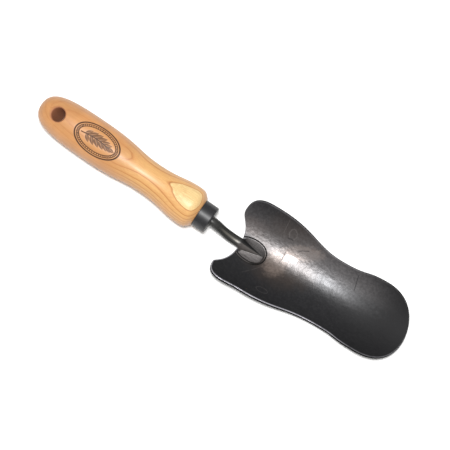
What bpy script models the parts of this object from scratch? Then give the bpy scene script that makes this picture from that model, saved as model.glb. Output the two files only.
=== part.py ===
"""Hand transplanter: a turned ash handle, a steel ferrule, a forged shank and a dished blade.

The tool frame has its origin on the handle's axis at the butt, with +X towards the blade and
+Z up. The blade lies face up. Metres throughout. The last step moves the whole tool so that
the origin is under the middle of its bounding box, on the surface that it rests on.
"""
import math

import bmesh
import bpy
from mathutils import Matrix, Vector
from mathutils.geometry import interpolate_bezier

# Fits
GAP = 0.0003                      # clearance between two pieces that touch

# Handle
HANDLE_RADIUS = 0.0164            # largest, at the rear swell; it rests on the table here
WAIST_RADIUS = 0.0127
FRONT_SWELL_RADIUS = 0.01615
SHOULDER_RADIUS = 0.0113
REAR_SWELL_X = 0.0490
WAIST_X = 0.0985
FRONT_SWELL_X = 0.1345
SHOULDER_X = 0.1434
BORE_END_X = 0.0880
HOLE_X = 0.0198                   # hanging hole, where it crosses the handle's axis
HOLE_RADIUS = 0.00545
HOLE_ROLL = math.radians(8.5)     # the hole leans about the handle's axis
HOLE_LEAN = math.radians(13.5)    # and towards the butt, as its upper mouth is nearly square to the taper
COUNTERSINK = 0.0019              # width of the chamfer at the hole's mouths
COUNTERSINK_Z = 0.0150            # from the handle's axis to its surface, along the hole

# Ferrule
FERRULE_RADIUS = 0.01085
FERRULE_LENGTH = 0.0110
FERRULE_WALL = 0.0012
FERRULE_ROUND = 0.0013

# Shank: tang, round neck and leaf-shaped palm
TANG_TIP_X = 0.0900
TANG_TIP_RADIUS = 0.0020
NECK_RADIUS = 0.00375             # at the ferrule
HEEL_RADIUS = 0.00390             # where the neck meets the blade
PALM_LENGTH = 0.0217
PALM_HALF_WIDTH = 0.0079
PALM_EDGE = 0.0013                # thickness of the palm at its edge
PALM_FOOT = 0.0023                # thickness of the palm at the foot of its rib
RIB_HALF_WIDTH = 0.0047
RIB_LENGTH = 0.0200
PALM_Y = -0.0011                  # the palm sits a little to one side of the blade's middle
WELD_RADIUS = 0.0006

# Blade, in its own frame: +X from its heel notch to its tip, +Z out of the hollow
BLADE_THICKNESS = 0.0019
BLADE_ORIGIN = Vector((0.1806, 0.0015, BLADE_THICKNESS - HANDLE_RADIUS))
BLADE_YAW = math.radians(3.3)
SECTION_RADIUS = 0.048            # across the blade
LENGTH_RADIUS = 0.97              # along the blade
LOWEST_X = 0.035                  # where the blade touches the table
TIP_X = 0.1427
UPTURN = 0.65                     # share of the lengthwise curve that gathers towards the tip

SCORE_SPACING = 0.0078            # strips that the blank is scored into
SCORE_SNAP = 0.0006               # corners nearer than this to a score line move onto it

TURN_STEPS = 48
SECTION_ARCH = 9                  # points over the shank's rib, and under its palm


def clear_scene():
    for item in list(bpy.data.objects):
        bpy.data.objects.remove(item, do_unlink=True)


def make_collection(name):
    group = bpy.data.collections.new(name)
    bpy.context.scene.collection.children.link(group)
    return group


def make_material(name, colour, roughness, metallic):
    material = bpy.data.materials.new(name)
    material.use_nodes = True
    shader = material.node_tree.nodes["Principled BSDF"]
    shader.inputs["Base Color"].default_value = (*colour, 1.0)
    shader.inputs["Roughness"].default_value = roughness
    shader.inputs["Metallic"].default_value = metallic
    return material


def add_object(name, data, group, parent=None, material=None):
    item = bpy.data.objects.new(name, data)
    group.objects.link(item)
    item.parent = parent
    if material:
        data.materials.append(material)
    return item


def mesh_from(name, bm):
    mesh = bpy.data.meshes.new(name)
    bm.to_mesh(mesh)
    bm.free()
    return mesh


def smooth_run(knots, steps):
    """Points on a smooth outline. A knot is its point, its arriving and its leaving handle."""
    run = [Vector(knots[0][0])]
    for (start, _, leave), (end, arrive, _) in zip(knots, knots[1:]):
        start, end = Vector(start), Vector(end)
        control = start, start + Vector(leave), end + Vector(arrive), end
        span = interpolate_bezier(*(point.to_3d() for point in control), steps + 1)
        run.extend(point.to_2d() for point in span[1:])
    return run


def turned(name, profile, group, parent, material, closed=False):
    """A solid turned about its own Z. The profile is (height, radius), its outer side downwards."""
    bm = bmesh.new()
    points = [bm.verts.new((radius, 0.0, height)) for height, radius in profile]
    pairs = zip(points, points[1:] + points[:1]) if closed else zip(points, points[1:])
    for first, second in pairs:
        bm.edges.new((first, second))
    item = add_object(name, mesh_from(name, bm), group, parent, material)
    screw = item.modifiers.new("turn", "SCREW")
    screw.axis = "Z"
    screw.angle = 2 * math.pi
    screw.steps = screw.render_steps = TURN_STEPS
    screw.use_merge_vertices = True
    screw.merge_threshold = 0.00001
    return item


def handle_outline():
    """The handle's (distance from butt, radius), from the butt to the ferrule's shoulder."""
    return smooth_run((
        ((0.0, 0.0), None, (0.0, 0.0144)),
        ((REAR_SWELL_X, HANDLE_RADIUS), (-0.0345, 0.0), (0.0307, 0.0)),
        ((WAIST_X, WAIST_RADIUS), (-0.0186, 0.0), (0.0188, 0.0)),
        ((FRONT_SWELL_X, FRONT_SWELL_RADIUS), (-0.0133, 0.0), (0.0050, 0.0)),
        ((SHOULDER_X, SHOULDER_RADIUS), (-0.0028, 0.0034), None),
    ), 9)


def make_handle(group, cutters, parent):
    ash = make_material("ash", (0.80, 0.49, 0.24), 0.45, 0.0)
    tenon_radius = FERRULE_RADIUS - FERRULE_WALL - GAP
    tenon_end = SHOULDER_X + FERRULE_LENGTH - FERRULE_WALL
    profile = [
        (BORE_END_X, 0.0),
        (BORE_END_X, TANG_TIP_RADIUS + GAP),
        (tenon_end, NECK_RADIUS + GAP),
        (tenon_end, tenon_radius),
        (SHOULDER_X, tenon_radius),
    ]
    profile += reversed(handle_outline())
    handle = turned("handle", profile, group, parent, ash)
    handle.rotation_euler = (0.0, math.pi / 2, 0.0)
    cut = handle.modifiers.new("hanging_hole", "BOOLEAN")
    cut.operation = "DIFFERENCE"
    cut.solver = "EXACT"
    cut.object = make_hole_cutter(cutters, parent)


def make_hole_cutter(cutters, parent):
    """A round hole with a countersink at each mouth."""
    reach = HANDLE_RADIUS + 0.002
    throat = COUNTERSINK_Z - COUNTERSINK
    mouth = HOLE_RADIUS + reach - throat
    profile = (
        (reach, 0.0),
        (reach, mouth),
        (throat, HOLE_RADIUS),
        (-throat, HOLE_RADIUS),
        (-reach, mouth),
        (-reach, 0.0),
    )
    cutter = turned("hanging_hole_cutter", profile, cutters, parent, None)
    cutter.location = (HOLE_X, 0.0, 0.0)
    cutter.rotation_euler = (HOLE_ROLL, -HOLE_LEAN, 0.0)
    cutter.hide_render = True
    cutter.display_type = "WIRE"
    return cutter


def make_ferrule(group, parent):
    """A drawn cap: a tube with a closed, rounded front that the neck passes through."""
    black = make_material("ferrule_black", (0.045, 0.045, 0.050), 0.38, 0.85)
    corner = [
        (FERRULE_LENGTH - FERRULE_ROUND * (1 - math.cos(angle)),
         FERRULE_RADIUS - FERRULE_ROUND * (1 - math.sin(angle)))
        for angle in (math.radians(step * 18) for step in range(6))
    ]
    inner = FERRULE_RADIUS - FERRULE_WALL
    throat = NECK_RADIUS + GAP
    profile = [(FERRULE_LENGTH, throat)] + corner + [
        (0.0, FERRULE_RADIUS),
        (0.0, inner),
        (FERRULE_LENGTH - FERRULE_WALL, inner),
        (FERRULE_LENGTH - FERRULE_WALL, throat),
    ]
    ferrule = turned("ferrule", profile, group, parent, black, closed=True)
    ferrule.location = (SHOULDER_X + GAP, 0.0, 0.0)
    ferrule.rotation_euler = (0.0, math.pi / 2, 0.0)


def dish(x, y):
    """Height of the blade's hollow face, above its lowest point, in the blade's frame."""
    across = SECTION_RADIUS - math.sqrt(SECTION_RADIUS ** 2 - y ** 2)
    along = (x - LOWEST_X) ** 2 / (2 * LENGTH_RADIUS)
    if x > LOWEST_X:
        along *= 1 - UPTURN * (1 - ((x - LOWEST_X) / (TIP_X - LOWEST_X)) ** 1.2)
    return across + along


def blade_outline():
    """The flat blank, going round from the notch: lobe, waist, bulge, rounded tip and back."""
    right = smooth_run((
        ((0.0008, 0.0), None, (0.0, 0.0150)),
        ((-0.0088, 0.0226), (0.0, -0.0064), (0.0, 0.0123)),
        ((0.0145, 0.0344), (-0.0111, 0.0), (0.0296, 0.0)),
        ((0.0726, 0.0263), (-0.0212, 0.0), (0.0243, 0.0)),
        ((0.1105, 0.0296), (-0.0197, 0.0), (0.0262, 0.0)),
        ((TIP_X, -0.0015), (0.0, 0.0107), None),
    ), 9)
    left = smooth_run((
        ((0.0008, 0.0), None, (0.0, -0.0185)),
        ((-0.0099, -0.0233), (0.0, 0.0020), (0.0, -0.0150)),
        ((0.0162, -0.0330), (-0.0094, 0.0), (0.0357, 0.0)),
        ((0.0843, -0.0248), (-0.0342, 0.0), (0.0153, 0.0)),
        ((0.1142, -0.0268), (-0.0213, 0.0), (0.0254, 0.0)),
        ((TIP_X, -0.0015), (0.0, -0.0070), None),
    ), 9)
    return right + left[-2:0:-1]


def make_blade(group, parent):
    """A flat blank, scored into strips so that it can be pressed to its dish, then thickened."""
    steel = make_material("blade_steel", (0.055, 0.057, 0.065), 0.40, 0.90)
    bm = bmesh.new()
    bm.faces.new([bm.verts.new((x, y, 0.0)) for x, y in blade_outline()])
    cuts = [((index * SCORE_SPACING, 0.0, 0.0), (1.0, 0.0, 0.0)) for index in range(-1, 19)]
    cuts += [((0.0, index * SCORE_SPACING, 0.0), (0.0, 1.0, 0.0)) for index in range(-4, 5)]
    for point, normal in cuts:
        everything = bm.verts[:] + bm.edges[:] + bm.faces[:]
        bmesh.ops.bisect_plane(bm, geom=everything, dist=SCORE_SNAP, plane_co=point, plane_no=normal)
    bmesh.ops.remove_doubles(bm, verts=bm.verts[:], dist=SCORE_SNAP)
    bmesh.ops.recalc_face_normals(bm, faces=bm.faces[:])
    if sum(face.normal.z for face in bm.faces) < 0:
        bmesh.ops.reverse_faces(bm, faces=bm.faces[:])
    bmesh.ops.triangulate(bm, faces=bm.faces[:])
    for vertex in bm.verts:
        vertex.co.z = dish(vertex.co.x, vertex.co.y)
    blade = add_object("blade", mesh_from("blade", bm), group, parent, steel)
    shell = blade.modifiers.new("thickness", "SOLIDIFY")
    shell.thickness = BLADE_THICKNESS
    shell.offset = -1.0
    shell.use_even_offset = True


def palm_outline():
    """The palm's (distance from the heel, half width), from the neck to its rounded tip."""
    return smooth_run((
        ((0.0, 0.0044), None, (0.0018, 0.0022)),
        ((0.0110, PALM_HALF_WIDTH), (-0.0048, 0.0), (0.0064, 0.0)),
        ((PALM_LENGTH, 0.0), (0.0, 0.0050), None),
    ), 9)


def fan(first, last, count):
    """Angles in degrees, evenly from first to last."""
    return [math.radians(first + (last - first) * step / (count - 1)) for step in range(count)]


def round_section(radius):
    """A circle, point for point with palm_section."""
    angles = (fan(-30, -150, SECTION_ARCH) + fan(-165, -165 - 30, 3)
              + fan(150, 30, SECTION_ARCH) + fan(15, -15, 3))
    return [Vector((radius * math.cos(angle), radius * math.sin(angle))) for angle in angles]


def palm_section(x, half, rib):
    """A flat palm with a rib along it. Its underside follows the blade a gap above it."""
    floor = [dish(x, PALM_Y + half * (1 - 2 * step / (SECTION_ARCH - 1))) for step in range(SECTION_ARCH)]
    under = [
        Vector((half * (1 - 2 * step / (SECTION_ARCH - 1)), height + GAP))
        for step, height in enumerate(floor)
    ]
    foot = min(RIB_HALF_WIDTH * rib, half * 0.8)
    rise = 0.0052 * rib
    base = dish(x, PALM_Y) + GAP + PALM_FOOT
    left_rim = Vector((-half, floor[-1] + GAP + PALM_EDGE))
    right_rim = Vector((half, floor[0] + GAP + PALM_EDGE))
    arch = [
        Vector((foot * math.cos(angle), base + rise * math.sin(angle)))
        for angle in fan(180, 0, SECTION_ARCH)
    ]
    left = [left_rim, left_rim.lerp(arch[0], 1 / 3), left_rim.lerp(arch[0], 2 / 3)]
    right = [arch[-1].lerp(right_rim, 1 / 3), arch[-1].lerp(right_rim, 2 / 3), right_rim]
    return under + left + arch + right


def blade_matrix():
    return Matrix.Translation(BLADE_ORIGIN) @ Matrix.Rotation(BLADE_YAW, 4, "Z")


def neck_sections():
    """Rings of the tang and of the cranked neck, as points in the tool's frame."""
    face = SHOULDER_X + GAP + FERRULE_LENGTH
    rings = []
    for x, radius in ((TANG_TIP_X, TANG_TIP_RADIUS), (SHOULDER_X, NECK_RADIUS), (face, NECK_RADIUS)):
        rings.append([Vector((x, across, up)) for across, up in round_section(radius)])
    heel = blade_matrix() @ Vector((-0.0012, PALM_Y, dish(0.0, 0.0) + GAP + HEEL_RADIUS))
    along = Matrix.Rotation(BLADE_YAW, 3, "Z") @ Vector((1.0, 0.0, 0.0))
    start = Vector((face, 0.0, 0.0))
    path = interpolate_bezier(start, start + Vector((0.0075, 0.0, 0.0)), heel - along * 0.0130, heel, 12)
    for index in range(1, len(path)):
        share = index / (len(path) - 1)
        ahead = path[min(index + 1, len(path) - 1)] - path[index - 1]
        forward = (along if index == len(path) - 1 else ahead).normalized()
        side = Vector((0.0, 0.0, 1.0)).cross(forward).normalized()
        top = forward.cross(side)
        radius = NECK_RADIUS + (HEEL_RADIUS - NECK_RADIUS) * share
        rings.append([path[index] + side * across + top * up for across, up in round_section(radius)])
    return rings


def palm_sections():
    """Rings of the palm, flattening out of the round neck, as points in the tool's frame."""
    rings = []
    outline = palm_outline()
    for x, half in outline[1:-1]:
        rib = max(1 - x / RIB_LENGTH, 0.02)
        section = palm_section(x, half, rib)
        flat = min(x / 0.0035, 1.0)
        centre = Vector((0.0, dish(0.0, 0.0) + GAP + HEEL_RADIUS))
        blend = [
            (centre + around).lerp(shaped, flat)
            for around, shaped in zip(round_section(HEEL_RADIUS), section)
        ]
        rings.append([blade_matrix() @ Vector((x, PALM_Y + across, up)) for across, up in blend])
    return rings


def make_shank(group, parent):
    """One forging: the tang in the handle, the cranked neck and the palm on the blade."""
    forged = make_material("forged_steel", (0.060, 0.060, 0.058), 0.45, 0.90)
    bm = bmesh.new()
    rings = [[bm.verts.new(point) for point in ring] for ring in neck_sections() + palm_sections()]
    for near, far in zip(rings, rings[1:]):
        for index in range(len(near)):
            after = (index + 1) % len(near)
            bm.faces.new((near[index], near[after], far[after], far[index]))
    bm.faces.new(rings[0])
    bm.faces.new(rings[-1])
    bmesh.ops.recalc_face_normals(bm, faces=bm.faces[:])
    bmesh.ops.triangulate(bm, faces=bm.faces[:])
    add_object("shank", mesh_from("shank", bm), group, parent, forged)


def make_weld(group, parent):
    """A thin bead round the palm's edge, lying on the blade."""
    bead = make_material("weld_bead", (0.070, 0.068, 0.065), 0.50, 0.90)
    reach = WELD_RADIUS + 2 * GAP
    outline = palm_outline()[3:]
    right = []
    for before, here, after in zip(outline, outline[1:], outline[2:] + [outline[-1]]):
        slope = (after - before).normalized()
        outward = Vector((-slope.y, slope.x))
        right.append(here + outward * reach)
    right[-1] = Vector((PALM_LENGTH + reach, 0.0))
    left = [Vector((x, -y)) for x, y in reversed(right[:-1])]
    curve = bpy.data.curves.new("palm_weld", "CURVE")
    curve.dimensions = "3D"
    curve.bevel_depth = WELD_RADIUS
    curve.bevel_resolution = 2
    curve.use_fill_caps = True
    spline = curve.splines.new("POLY")
    spline.points.add(len(right + left) - 1)
    for point, (x, y) in zip(spline.points, right + left):
        height = dish(x, PALM_Y + y) + WELD_RADIUS + GAP
        point.co = (*(blade_matrix() @ Vector((x, PALM_Y + y, height))), 1.0)
    add_object("palm_weld", curve, group, parent, bead)


def centre_on_base(group, frame):
    """Move the tool so that the origin is under the middle of its box, at its lowest point."""
    bpy.context.view_layer.update()
    depsgraph = bpy.context.evaluated_depsgraph_get()
    corners = []
    for item in group.objects:
        if item.type == "EMPTY":
            continue
        shape = item.evaluated_get(depsgraph)
        mesh = shape.to_mesh()
        corners += [shape.matrix_world @ vertex.co for vertex in mesh.vertices]
        shape.to_mesh_clear()
    low = Vector(min(corner[axis] for corner in corners) for axis in range(3))
    high = Vector(max(corner[axis] for corner in corners) for axis in range(3))
    frame.location = (-(low.x + high.x) / 2, -(low.y + high.y) / 2, -low.z)


def main():
    clear_scene()
    group = make_collection("hand_transplanter")
    cutters = make_collection("cutters")
    frame = add_object("tool_frame", None, group)
    make_handle(group, cutters, frame)
    make_ferrule(group, frame)
    make_shank(group, frame)
    blade_frame = add_object("blade_frame", None, group, frame)
    blade_frame.location = BLADE_ORIGIN
    blade_frame.rotation_euler = (0.0, 0.0, BLADE_YAW)
    make_blade(group, blade_frame)
    make_weld(group, frame)
    centre_on_base(group, frame)


main()
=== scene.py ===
import math

import bmesh
import bpy
import numpy as np
from mathutils import Matrix, Vector


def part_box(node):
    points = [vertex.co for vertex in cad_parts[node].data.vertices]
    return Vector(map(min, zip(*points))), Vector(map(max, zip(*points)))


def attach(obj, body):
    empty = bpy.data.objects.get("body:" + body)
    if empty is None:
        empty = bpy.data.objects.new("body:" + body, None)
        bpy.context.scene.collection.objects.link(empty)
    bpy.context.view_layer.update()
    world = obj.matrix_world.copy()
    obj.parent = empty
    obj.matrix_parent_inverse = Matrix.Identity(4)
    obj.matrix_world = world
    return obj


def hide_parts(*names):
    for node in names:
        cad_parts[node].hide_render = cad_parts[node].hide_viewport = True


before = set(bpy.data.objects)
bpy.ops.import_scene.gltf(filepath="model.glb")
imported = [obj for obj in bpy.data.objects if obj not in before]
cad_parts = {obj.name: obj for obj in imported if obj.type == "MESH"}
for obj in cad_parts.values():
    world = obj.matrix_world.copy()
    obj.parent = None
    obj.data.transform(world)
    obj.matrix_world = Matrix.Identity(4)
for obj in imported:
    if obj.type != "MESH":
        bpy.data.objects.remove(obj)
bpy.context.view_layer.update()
print("frame loaded:", sorted(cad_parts))

# the tool's own axes: origin on the handle's axis at the butt, x to the blade, z up
handleLow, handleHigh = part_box("handle")
toolOrigin = Vector((handleLow.x, (handleLow.y + handleHigh.y) / 2, (handleLow.z + handleHigh.z) / 2))


mergeDistance = 2e-6  # points nearer than this become one, in metres


def bezierRun(knots, steps):
    # knots are (point, arriving handle, leaving handle), in millimetres
    run = [np.array(knots[0][0], float)]
    for (start, _, leave), (end, arrive, _) in zip(knots, knots[1:]):
        a, d = np.array(start, float), np.array(end, float)
        b, c = a + np.array(leave, float), d + np.array(arrive, float)
        for step in range(1, steps + 1):
            t = step / steps
            s = 1 - t
            run.append(a * s ** 3 + 3 * b * s ** 2 * t + 3 * c * s * t ** 2 + d * t ** 3)
    return np.array(run)


def distances(run):
    # how far along a run each of its points is
    return np.concatenate([[0], np.cumsum(np.linalg.norm(np.diff(run, axis=0), axis=1))])


def alongRun(run, stations):
    # points of a run at the given distances along it
    reach = distances(run)
    return np.stack([np.interp(stations, reach, column) for column in run.T], axis=1)


def addValues(mesh, name, values):
    # one number per point, for a material to read
    attribute = mesh.attributes.new(name, "FLOAT", "POINT")
    attribute.data.foreach_set("value", np.asarray(values, np.float32))


def addObject(name, data):
    item = bpy.data.objects.new(name, data)
    bpy.context.scene.collection.objects.link(item)
    return item


def mendMesh(mesh, merge=0.0, fill=False):
    # joins doubled points or closes open ends, then turns every face outward
    bm = bmesh.new()
    bm.from_mesh(mesh)
    if merge:
        bmesh.ops.remove_doubles(bm, verts=bm.verts[:], dist=merge)
    if fill:
        bmesh.ops.holes_fill(bm, edges=[e for e in bm.edges if e.is_boundary], sides=0)
    bmesh.ops.recalc_face_normals(bm, faces=bm.faces[:])
    bm.to_mesh(mesh)
    bm.free()


def bakeMesh(piece):
    # the mesh that the piece's modifiers make of it; the modifiers are then removed
    bpy.context.view_layer.update()
    graph = bpy.context.evaluated_depsgraph_get()
    mesh = bpy.data.meshes.new_from_object(piece.evaluated_get(graph))
    piece.modifiers.clear()
    return mesh


def meshPiece(name, points, faces, sharpAngle=40, values=None):
    mesh = bpy.data.meshes.new(name)
    mesh.from_pydata([tuple(p) for p in points], [], faces)
    for label, numbers in (values or {}).items():
        addValues(mesh, label, numbers)
    mendMesh(mesh, mergeDistance)
    mesh.shade_smooth()
    mesh.set_sharp_from_angle(angle=math.radians(sharpAngle))
    return addObject(name, mesh)


def gridFaces(rows, columns):
    # quads between rings of points, row after row
    faces = []
    for i in range(0, (rows - 1) * columns, columns):
        for j in range(columns):
            k = (j + 1) % columns
            faces.append((i + j, i + k, i + columns + k, i + columns + j))
    return faces


def turnOnLathe(name, profile, angles, closed=False, sharpAngle=40):
    # a solid turned about the tool's x axis; profile is (x, radius) in millimetres
    profile = list(profile) + ([profile[0]] if closed else [])
    points = []
    for x, r in profile:
        for angle in angles:
            points.append(toolOrigin + Vector((x, r * math.sin(angle), r * math.cos(angle))) * 0.001)
    return meshPiece(name, points, gridFaces(len(profile), len(angles)), sharpAngle)


def dressPiece(piece, node, material):
    piece.data.materials.clear()
    piece.data.materials.append(material)
    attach(piece, "root")
    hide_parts(node)


def tint(colour, factor):
    return tuple(channel * factor for channel in colour)


# node helpers, so that a tree reads as a list of steps
class Nodes:
    def __init__(self, tree):
        self.tree = tree

    def node(self, kind, settings=None, **links):
        item = self.tree.nodes.new(kind)
        for key, value in (settings or {}).items():
            setattr(item, key, value)
        for key, value in links.items():
            self.plug(item.inputs[key.replace("_", " ")], value)
        return item

    def plug(self, socket, value):
        # a node stands for its first output
        if isinstance(value, bpy.types.Node):
            value = value.outputs[0]
        if isinstance(value, bpy.types.NodeSocket):
            self.tree.links.new(value, socket)
        else:
            socket.default_value = value

    def calc(self, operation, first, second=0.0, third=0.0):
        item = self.node("ShaderNodeMath", {"operation": operation})
        for socket, value in zip(item.inputs, (first, second, third)):
            self.plug(socket, value)
        return item.outputs[0]

    def times(self, first, *others):
        for other in others:
            first = self.calc("MULTIPLY", first, other)
        return first

    def plus(self, first, second):
        return self.calc("ADD", first, second)

    def minus(self, first, second):
        return self.calc("SUBTRACT", first, second)

    def most(self, first, second):
        return self.calc("MAXIMUM", first, second)

    def flip(self, value):
        return self.minus(1.0, value)

    def scaleAdd(self, value, factor, offset):
        return self.calc("MULTIPLY_ADD", value, factor, offset)

    def axes(self, vector):
        return self.node("ShaderNodeSeparateXYZ", Vector=vector).outputs[:]


class Bench(Nodes):
    def __init__(self, name, finish=None):
        self.material = bpy.data.materials.new(name)
        self.material.use_nodes = True
        super().__init__(self.material.node_tree)
        self.finish = finish
        self.colour = None

    def noise(self, vector, scale, detail=3.0, roughness=0.55):
        item = self.node("ShaderNodeTexNoise", Vector=vector, Scale=scale, Detail=detail,
                         Roughness=roughness)
        return item.outputs["Fac"]

    def streaks(self, vector, scale, detail=3.0, roughness=0.55, turn=0.0):
        # noise with its own scale on each axis, turned by degrees about z
        lie = (0.0, 0.0, math.radians(turn))
        drawn = self.node("ShaderNodeMapping", Vector=vector, Scale=scale, Rotation=lie)
        return self.noise(drawn.outputs[0], 1.0, detail, roughness)

    def step(self, value, low, high):
        # 0 below low, 1 above high
        item = self.node("ShaderNodeMapRange", {"interpolation_type": "SMOOTHSTEP"},
                         Value=value, From_Min=low, From_Max=high)
        return item.outputs[0]

    def fade(self, value, low, high):
        # 1 below low, 0 above high
        return self.flip(self.step(value, low, high))

    def ramp(self, value, stops):
        item = self.node("ShaderNodeValToRGB", Fac=value)
        elements = item.color_ramp.elements
        while len(elements) < len(stops):
            elements.new(0.5)
        for element, (place, colour) in zip(elements, stops):
            element.position = place
            element.color = (*colour, 1.0)
        return item.outputs[0]

    def mix(self, factor, first, second):
        item = self.node("ShaderNodeMix", {"data_type": "RGBA"})
        self.plug(item.inputs[0], factor)
        for socket, value in ((item.inputs[6], first), (item.inputs[7], second)):
            self.plug(socket, (*value, 1.0) if isinstance(value, tuple) else value)
        return item.outputs[2]

    def lay(self, coat, *masks):
        # a colour, or the name of one in the finish, over what is there; masks are multiplied
        coat = self.finish[coat] if isinstance(coat, str) else coat
        self.colour = self.mix(self.times(*masks), self.colour, coat)

    def bump(self, height, distance, strength=1.0, under=None):
        item = self.node("ShaderNodeBump", Height=height, Distance=distance, Strength=strength)
        if under is not None:
            self.plug(item.inputs["Normal"], under)
        return item.outputs[0]

    def localMillimetres(self, origin, yaw=0.0):
        # object coordinates as millimetres from an origin, turned by yaw degrees
        place = self.node("ShaderNodeTexCoord").outputs["Object"]
        item = self.node("ShaderNodeMapping", {"vector_type": "TEXTURE"}, Vector=place, Location=origin,
                         Rotation=(0.0, 0.0, math.radians(yaw)), Scale=(0.001, 0.001, 0.001))
        return item.outputs[0]

    def read(self, name):
        # a value that the mesh carries
        return self.node("ShaderNodeAttribute", {"attribute_name": name}).outputs["Fac"]

    def dress(self, **settings):
        shader = self.tree.nodes["Principled BSDF"]
        self.plug(shader.inputs["Base Color"], self.colour)
        for name, value in settings.items():
            self.plug(shader.inputs[name.replace("_", " ")], value)
        return self.material


viewing = {
    "tiltAlong": 3.0,  # degrees that the camera leans from straight up, towards the blade
    "tiltAcross": -11.5,  # and towards the tool's left
    "handleAngle": 34.5,  # how far the handle runs downhill in the view
    "across": 0.3375,  # width of the view, in metres
    "distance": 1.4,
    "aim": (0.1374, -0.0906),  # from the tool's origin to the middle of the view
    "sensor": 36.0,
}


def leaning(along, across):
    # a direction that leans from straight up by these degrees
    slopes = math.tan(math.radians(along)), math.tan(math.radians(across))
    return Vector((*slopes, 1.0)).normalized()


def makeCamera():
    back = leaning(viewing["tiltAlong"], viewing["tiltAcross"])
    toolX = Vector((1.0, 0.0, 0.0))
    level = (toolX - back * toolX.dot(back)).normalized()
    aside = back.cross(level)
    lean = math.radians(viewing["handleAngle"])
    right = level * math.cos(lean) + aside * math.sin(lean)
    up = aside * math.cos(lean) - level * math.sin(lean)
    target = toolOrigin + right * viewing["aim"][0] + up * viewing["aim"][1]
    data = bpy.data.cameras.new("camera")
    data.sensor_width = viewing["sensor"]
    data.lens = viewing["sensor"] * viewing["distance"] / viewing["across"]
    camera = addObject("camera", data)
    turn = Matrix((right, up, back)).transposed().to_4x4()
    camera.matrix_world = Matrix.Translation(target + back * viewing["distance"]) @ turn
    bpy.context.scene.camera = camera


lighting = {
    "keyAlong": -2.5,  # degrees from straight up, towards the blade
    "keyAcross": -6.0,
    "keySize": (0.28, 0.22),
    "keyDistance": 1.5,
    "keyPower": 23.0,
    "keyAbove": (0.03, 0.0, 0.0),
    "skyLow": 0.16,  # strength at the horizon
    "skyTop": 0.66,  # and from skyFrom upwards
    "skyFrom": 0.85,
    "skyColour": (1.0, 0.995, 0.985, 1.0),
    "floorHalf": 3.0,
}


def makeLight():
    direction = leaning(lighting["keyAlong"], lighting["keyAcross"])
    data = bpy.data.lights.new("overhead softbox", "AREA")
    data.shape = "RECTANGLE"
    data.size, data.size_y = lighting["keySize"]
    data.energy = lighting["keyPower"]
    lamp = addObject("overhead softbox", data)
    lamp.location = Vector(lighting["keyAbove"]) + direction * lighting["keyDistance"]
    lamp.rotation_euler = direction.to_track_quat("Z", "Y").to_euler()

    world = bpy.data.worlds.new("studio tent")
    bpy.context.scene.world = world
    world.use_nodes = True
    sky = Nodes(world.node_tree)
    height = sky.axes(sky.node("ShaderNodeTexCoord").outputs["Generated"])[2]
    level = sky.node("ShaderNodeMapRange", Value=height, From_Min=0.0, From_Max=lighting["skyFrom"],
                     To_Min=lighting["skyLow"], To_Max=lighting["skyTop"])
    background = sky.tree.nodes["Background"]
    sky.plug(background.inputs["Strength"], level)
    sky.plug(background.inputs["Color"], lighting["skyColour"])


def makeFloor():
    half = lighting["floorHalf"]
    corners = [(-half, -half, 0), (half, -half, 0), (half, half, 0), (-half, half, 0)]
    mesh = bpy.data.meshes.new("paper floor")
    mesh.from_pydata(corners, [], [(0, 1, 2, 3)])
    floor = addObject("paper floor", mesh)
    mat = Bench("white paper")
    tooth = mat.noise(mat.node("ShaderNodeTexCoord").outputs["Object"], 900.0, 2.0)
    mat.colour = mat.mix(tooth, (0.955, 0.955, 0.95), (0.975, 0.975, 0.97))
    mesh.materials.append(mat.dress(Roughness=0.9, Specular_IOR_Level=0.1))


makeCamera()
makeLight()
makeFloor()
bpy.context.scene.view_settings.view_transform = "Standard"
print("camera, light and floor ready")


handleShape = {
    # (distance from butt, radius), with the handles of the curve, in millimetres
    "outline": (
        ((0, 0), None, (0, 14.4)),
        ((49, 16.4), (-34.5, 0), (30.7, 0)),
        ((98.5, 12.7), (-18.6, 0), (18.8, 0)),
        ((134.5, 16.15), (-13.3, 0), (5.0, 0)),
        ((143.4, 11.3), (-2.8, 3.4), None),
    ),
    "tenon": (153.2, 9.35),  # its end and radius
    "bore": (2.3, 4.05),  # radius at its bottom and at its mouth
    "boreEnd": 88.0,
    "holeAt": 19.8,
    "holeRadius": 5.45,
    "holeRoll": 8.5,
    "holeLean": 13.5,
    "countersink": (15.0, 1.9),  # height of the surface and width of the chamfer
    "easing": 0.75,  # how far the chamfer's foot is rounded into the bore
    "markAt": 52.2,  # middle of the burnt mark
    "markRoll": 8.5,
    "markHalf": (19.6, 12.0),
    "markRadius": 16.2,  # of the skin that it is wrapped on
    "markDepth": 0.13,
}


def handleRun():
    run = bezierRun(handleShape["outline"], 300)
    reach = distances(run)
    stations = [0.0]
    half = handleShape["markHalf"][0] + 1.2
    while stations[-1] < reach[-1]:
        x = np.interp(stations[-1], reach, run[:, 0])
        fine = abs(x - handleShape["markAt"]) < half
        curved = x > 125 or x < 30
        stations.append(stations[-1] + (0.21 if fine else 0.55 if curved else 0.9))
    stations[-1] = reach[-1]
    return alongRun(run, np.array(stations))


def handleAngles():
    # finer over the burnt mark than under the handle; angle 0 is up, positive towards +y
    middle = -math.radians(handleShape["markRoll"])
    half = (handleShape["markHalf"][1] + 1.0) / handleShape["outline"][1][0][1]
    fine = np.linspace(middle - half, middle + half, 132)
    rest = np.linspace(middle + half, middle - half + 2 * math.pi, 84)[1:-1]
    return np.concatenate([fine, rest])


def holeTurn():
    lean = Matrix.Rotation(-math.radians(handleShape["holeLean"]), 3, "Y")
    return lean @ Matrix.Rotation(math.radians(handleShape["holeRoll"]), 3, "X")


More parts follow.
